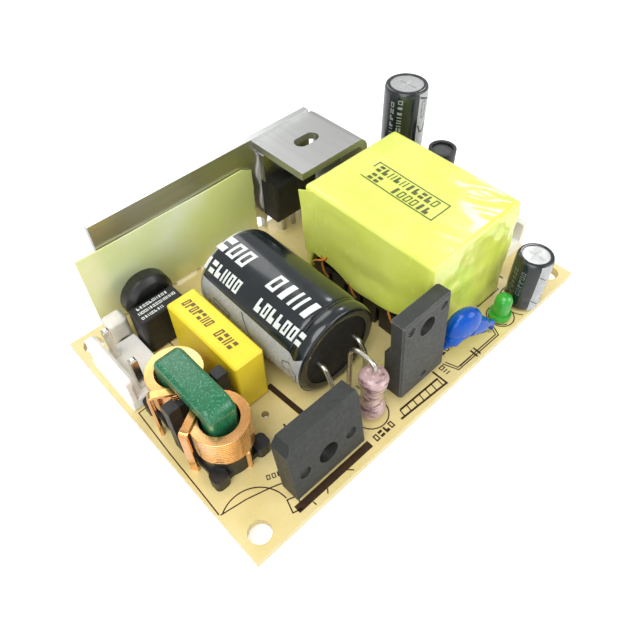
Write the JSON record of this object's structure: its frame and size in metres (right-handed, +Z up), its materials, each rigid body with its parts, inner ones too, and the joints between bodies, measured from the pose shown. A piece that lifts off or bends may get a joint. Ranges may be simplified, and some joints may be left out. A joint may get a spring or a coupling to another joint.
{
  "type": "open frame power supply",
  "caption": "Bare board mains power supply with a taped transformer, a wound choke, can capacitors, rectifiers, white headers and an upright aluminium heatsink plate.",
  "frame": {"origin": "centre of the four mounting holes on the underside of the circuit board", "axes": "+X along the board's long side away from the mains header, +Y across the board towards the heatsink plate, +Z up out of the component side"},
  "size_m": [0.0762, 0.0516, 0.0289],
  "materials": {
    "adhesive_lump": "cured white silicone",
    "bridge_body": "moulded epoxy",
    "bridge_leads": "tinned copper",
    "bulk_capacitor_bung": "moulded rubber",
    "bulk_capacitor_can": "drawn aluminium",
    "bulk_capacitor_leads": "tinned wire",
    "bulk_capacitor_sleeve": "shrunk dark sleeve",
    "choke_base": "moulded black plastic",
    "choke_coils": "flat copper wire, enamelled",
    "choke_core": "ferrite with a green speckled coat",
    "circuit_board": "pressed paper laminate with lacquer",
    "control_chip_body": "moulded epoxy",
    "control_chip_leads": "tinned copper",
    "diode_body": "moulded epoxy",
    "diode_leads": "tinned copper",
    "disc_capacitor_body": "dipped blue resin",
    "disc_capacitor_leads": "tinned wire",
    "film_capacitor_case": "moulded yellow plastic",
    "film_capacitor_leads": "tinned wire",
    "fuse_case": "moulded black thermoplastic",
    "fuse_leads": "tinned wire",
    "heatsink_plate": "punched sheet, mill finish",
    "inductor_core": "pressed ferrite",
    "inductor_leads": "tinned wire",
    "inductor_sleeve": "shrunk black sleeve",
    "inductor_winding": "enamelled copper wire",
    "inlet_housing": "moulded white nylon",
    "inlet_pins": "tinned brass",
    "insulation_sheet": "thin translucent film",
    "lamp_leads": "tinned steel",
    "lamp_lens": "tinted diffused resin",
    "optocoupler_body": "moulded white epoxy",
    "optocoupler_leads": "tinned copper",
    "output_housing": "moulded white nylon",
    "output_pins": "tinned brass",
    "rectifier_body": "moulded epoxy",
    "rectifier_screw": "zinc plated steel",
    "rectifier_tab_and_leads": "tinned copper",
    "resistor_body": "baked mauve coating",
    "resistor_leads": "tinned wire",
    "slotted_bracket": "folded sheet, mill finish",
    "small_capacitor_bung": "moulded rubber",
    "small_capacitor_can": "drawn aluminium",
    "small_capacitor_leads": "tinned wire",
    "small_capacitor_sleeve": "shrunk dark sleeve",
    "switch_body": "moulded epoxy",
    "switch_pad": "silicone pad",
    "switch_screw": "zinc plated steel",
    "switch_tab_and_leads": "tinned copper",
    "tall_capacitor_bung": "moulded rubber",
    "tall_capacitor_can": "drawn aluminium",
    "tall_capacitor_leads": "tinned wire",
    "tall_capacitor_sleeve": "shrunk dark sleeve",
    "thermistor_disc": "dipped black resin",
    "thermistor_leads": "tinned wire",
    "transformer_bobbin": "moulded phenolic",
    "transformer_core": "pressed ferrite",
    "transformer_pins": "tinned steel",
    "transformer_winding": "taped copper winding",
    "transformer_wrap": "polyester tape"
  },
  "bodies": {
    "root": {"adhesive_lump": "adhesive_lump", "bridge_body": "bridge_body", "bridge_leads": "bridge_leads", "bulk_capacitor_bung": "bulk_capacitor_bung", "bulk_capacitor_can": "bulk_capacitor_can", "bulk_capacitor_leads": "bulk_capacitor_leads", "bulk_capacitor_sleeve": "bulk_capacitor_sleeve", "choke_base": "choke_base", "choke_coils": "choke_coils", "choke_core": "choke_core", "circuit_board": "circuit_board", "control_chip_body": "control_chip_body", "control_chip_leads": "control_chip_leads", "diode_body": "diode_body", "diode_leads": "diode_leads", "disc_capacitor_body": "disc_capacitor_body", "disc_capacitor_leads": "disc_capacitor_leads", "film_capacitor_case": "film_capacitor_case", "film_capacitor_leads": "film_capacitor_leads", "fuse_case": "fuse_case", "fuse_leads": "fuse_leads", "heatsink_plate": "heatsink_plate", "inductor_core": "inductor_core", "inductor_leads": "inductor_leads", "inductor_sleeve": "inductor_sleeve", "inductor_winding": "inductor_winding", "inlet_housing": "inlet_housing", "inlet_pins": "inlet_pins", "insulation_sheet": "insulation_sheet", "lamp_leads": "lamp_leads", "lamp_lens": "lamp_lens", "optocoupler_body": "optocoupler_body", "optocoupler_leads": "optocoupler_leads", "output_housing": "output_housing", "output_pins": "output_pins", "rectifier_body": "rectifier_body", "rectifier_screw": "rectifier_screw", "rectifier_tab_and_leads": "rectifier_tab_and_leads", "resistor_body": "resistor_body", "resistor_leads": "resistor_leads", "slotted_bracket": "slotted_bracket", "small_capacitor_bung": "small_capacitor_bung", "small_capacitor_can": "small_capacitor_can", "small_capacitor_leads": "small_capacitor_leads", "small_capacitor_sleeve": "small_capacitor_sleeve", "switch_body": "switch_body", "switch_pad": "switch_pad", "switch_screw": "switch_screw", "switch_tab_and_leads": "switch_tab_and_leads", "tall_capacitor_bung": "tall_capacitor_bung", "tall_capacitor_can": "tall_capacitor_can", "tall_capacitor_leads": "tall_capacitor_leads", "tall_capacitor_sleeve": "tall_capacitor_sleeve", "thermistor_disc": "thermistor_disc", "thermistor_leads": "thermistor_leads", "transformer_bobbin": "transformer_bobbin", "transformer_core": "transformer_core", "transformer_pins": "transformer_pins", "transformer_winding": "transformer_winding", "transformer_wrap": "transformer_wrap"}
  },
  "joints": []
}
